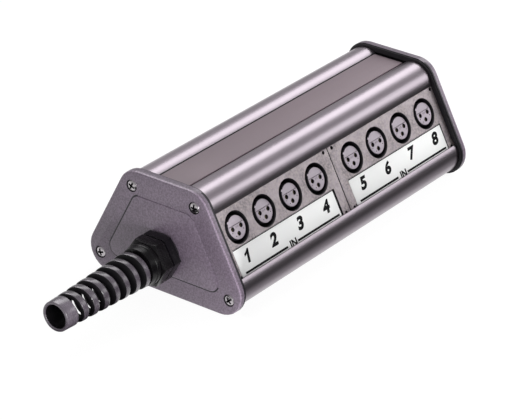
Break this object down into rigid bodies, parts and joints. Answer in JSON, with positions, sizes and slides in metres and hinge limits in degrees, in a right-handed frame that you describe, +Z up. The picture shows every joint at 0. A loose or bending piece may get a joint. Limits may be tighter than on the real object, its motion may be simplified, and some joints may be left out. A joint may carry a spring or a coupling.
{
  "type": "stage box",
  "caption": "Stage box for microphone cables: a low metal housing with rounded rails, a sloping row of round three-contact sockets, end caps and a cable gland with a spiral tail.",
  "frame": {"origin": "middle of the whole part's box, on the surface it stands on", "axes": "+X along the housing from the gland end to the rear cap, sockets facing -Y and up, +Z up"},
  "size_m": [0.3332, 0.1136, 0.074],
  "materials": {
    "anodised": "satin anodised, violet-grey",
    "strip": "matt warm grey",
    "cap_paint": "satin powder coat, violet-grey",
    "rubber": "matt black",
    "screw_steel": "bright plated",
    "module_plastic": "fine speckled light grey",
    "label": "off-white label film",
    "board": "green circuit board",
    "insert_plastic": "light grey moulded",
    "contact_metal": "plated contact",
    "gland_plastic": "satin near-black nylon"
  },
  "bodies": {
    "box": {"top_profile": "anodised", "bottom_profile": "anodised", "top_strip": "strip", "back_panel": "strip", "front_end_cap": "cap_paint", "rear_end_cap": "cap_paint", "front_cap_seal": "rubber", "rear_cap_seal": "rubber", "front_screw_1": "screw_steel", "rear_screw_1": "screw_steel", "front_screw_2": "screw_steel", "rear_screw_2": "screw_steel", "front_screw_3": "screw_steel", "rear_screw_3": "screw_steel", "front_screw_4": "screw_steel", "rear_screw_4": "screw_steel", "module_1_frame": "module_plastic", "module_1_label": "label", "module_1_board": "board", "module_2_frame": "module_plastic", "module_2_label": "label", "module_2_board": "board", "socket_1_insert": "insert_plastic", "socket_1_contact_1": "contact_metal", "socket_1_contact_2": "contact_metal", "socket_1_contact_3": "contact_metal", "socket_2_insert": "insert_plastic", "socket_2_contact_1": "contact_metal", "socket_2_contact_2": "contact_metal", "socket_2_contact_3": "contact_metal", "socket_3_insert": "insert_plastic", "socket_3_contact_1": "contact_metal", "socket_3_contact_2": "contact_metal", "socket_3_contact_3": "contact_metal", "socket_4_insert": "insert_plastic", "socket_4_contact_1": "contact_metal", "socket_4_contact_2": "contact_metal", "socket_4_contact_3": "contact_metal", "socket_5_insert": "insert_plastic", "socket_5_contact_1": "contact_metal", "socket_5_contact_2": "contact_metal", "socket_5_contact_3": "contact_metal", "socket_6_insert": "insert_plastic", "socket_6_contact_1": "contact_metal", "socket_6_contact_2": "contact_metal", "socket_6_contact_3": "contact_metal", "socket_7_insert": "insert_plastic", "socket_7_contact_1": "contact_metal", "socket_7_contact_2": "contact_metal", "socket_7_contact_3": "contact_metal", "socket_8_insert": "insert_plastic", "socket_8_contact_1": "contact_metal", "socket_8_contact_2": "contact_metal", "socket_8_contact_3": "contact_metal", "gland_body": "gland_plastic", "gland_locknut": "gland_plastic", "gland_washer": "rubber"},
    "clamp": {"gland_clamp": "rubber"},
    "nut": {"gland_nut": "gland_plastic"}
  },
  "joints": [
    {"name": "clamp_slide", "type": "slide", "parent": "box", "child": "clamp", "axis": [-1, 0, 0], "range_m": [0, 0.003]},
    {"name": "nut_turn", "type": "hinge", "parent": "clamp", "child": "nut", "pos_m": [-0.0836, 0, 0.0273], "axis": [-1, 0, 0], "range_deg": [0, 720]}
  ],
  "couplings": [
    {"joint": "clamp_slide", "follows": "nut_turn", "m_per_rad": 0.00023849}
  ]
}
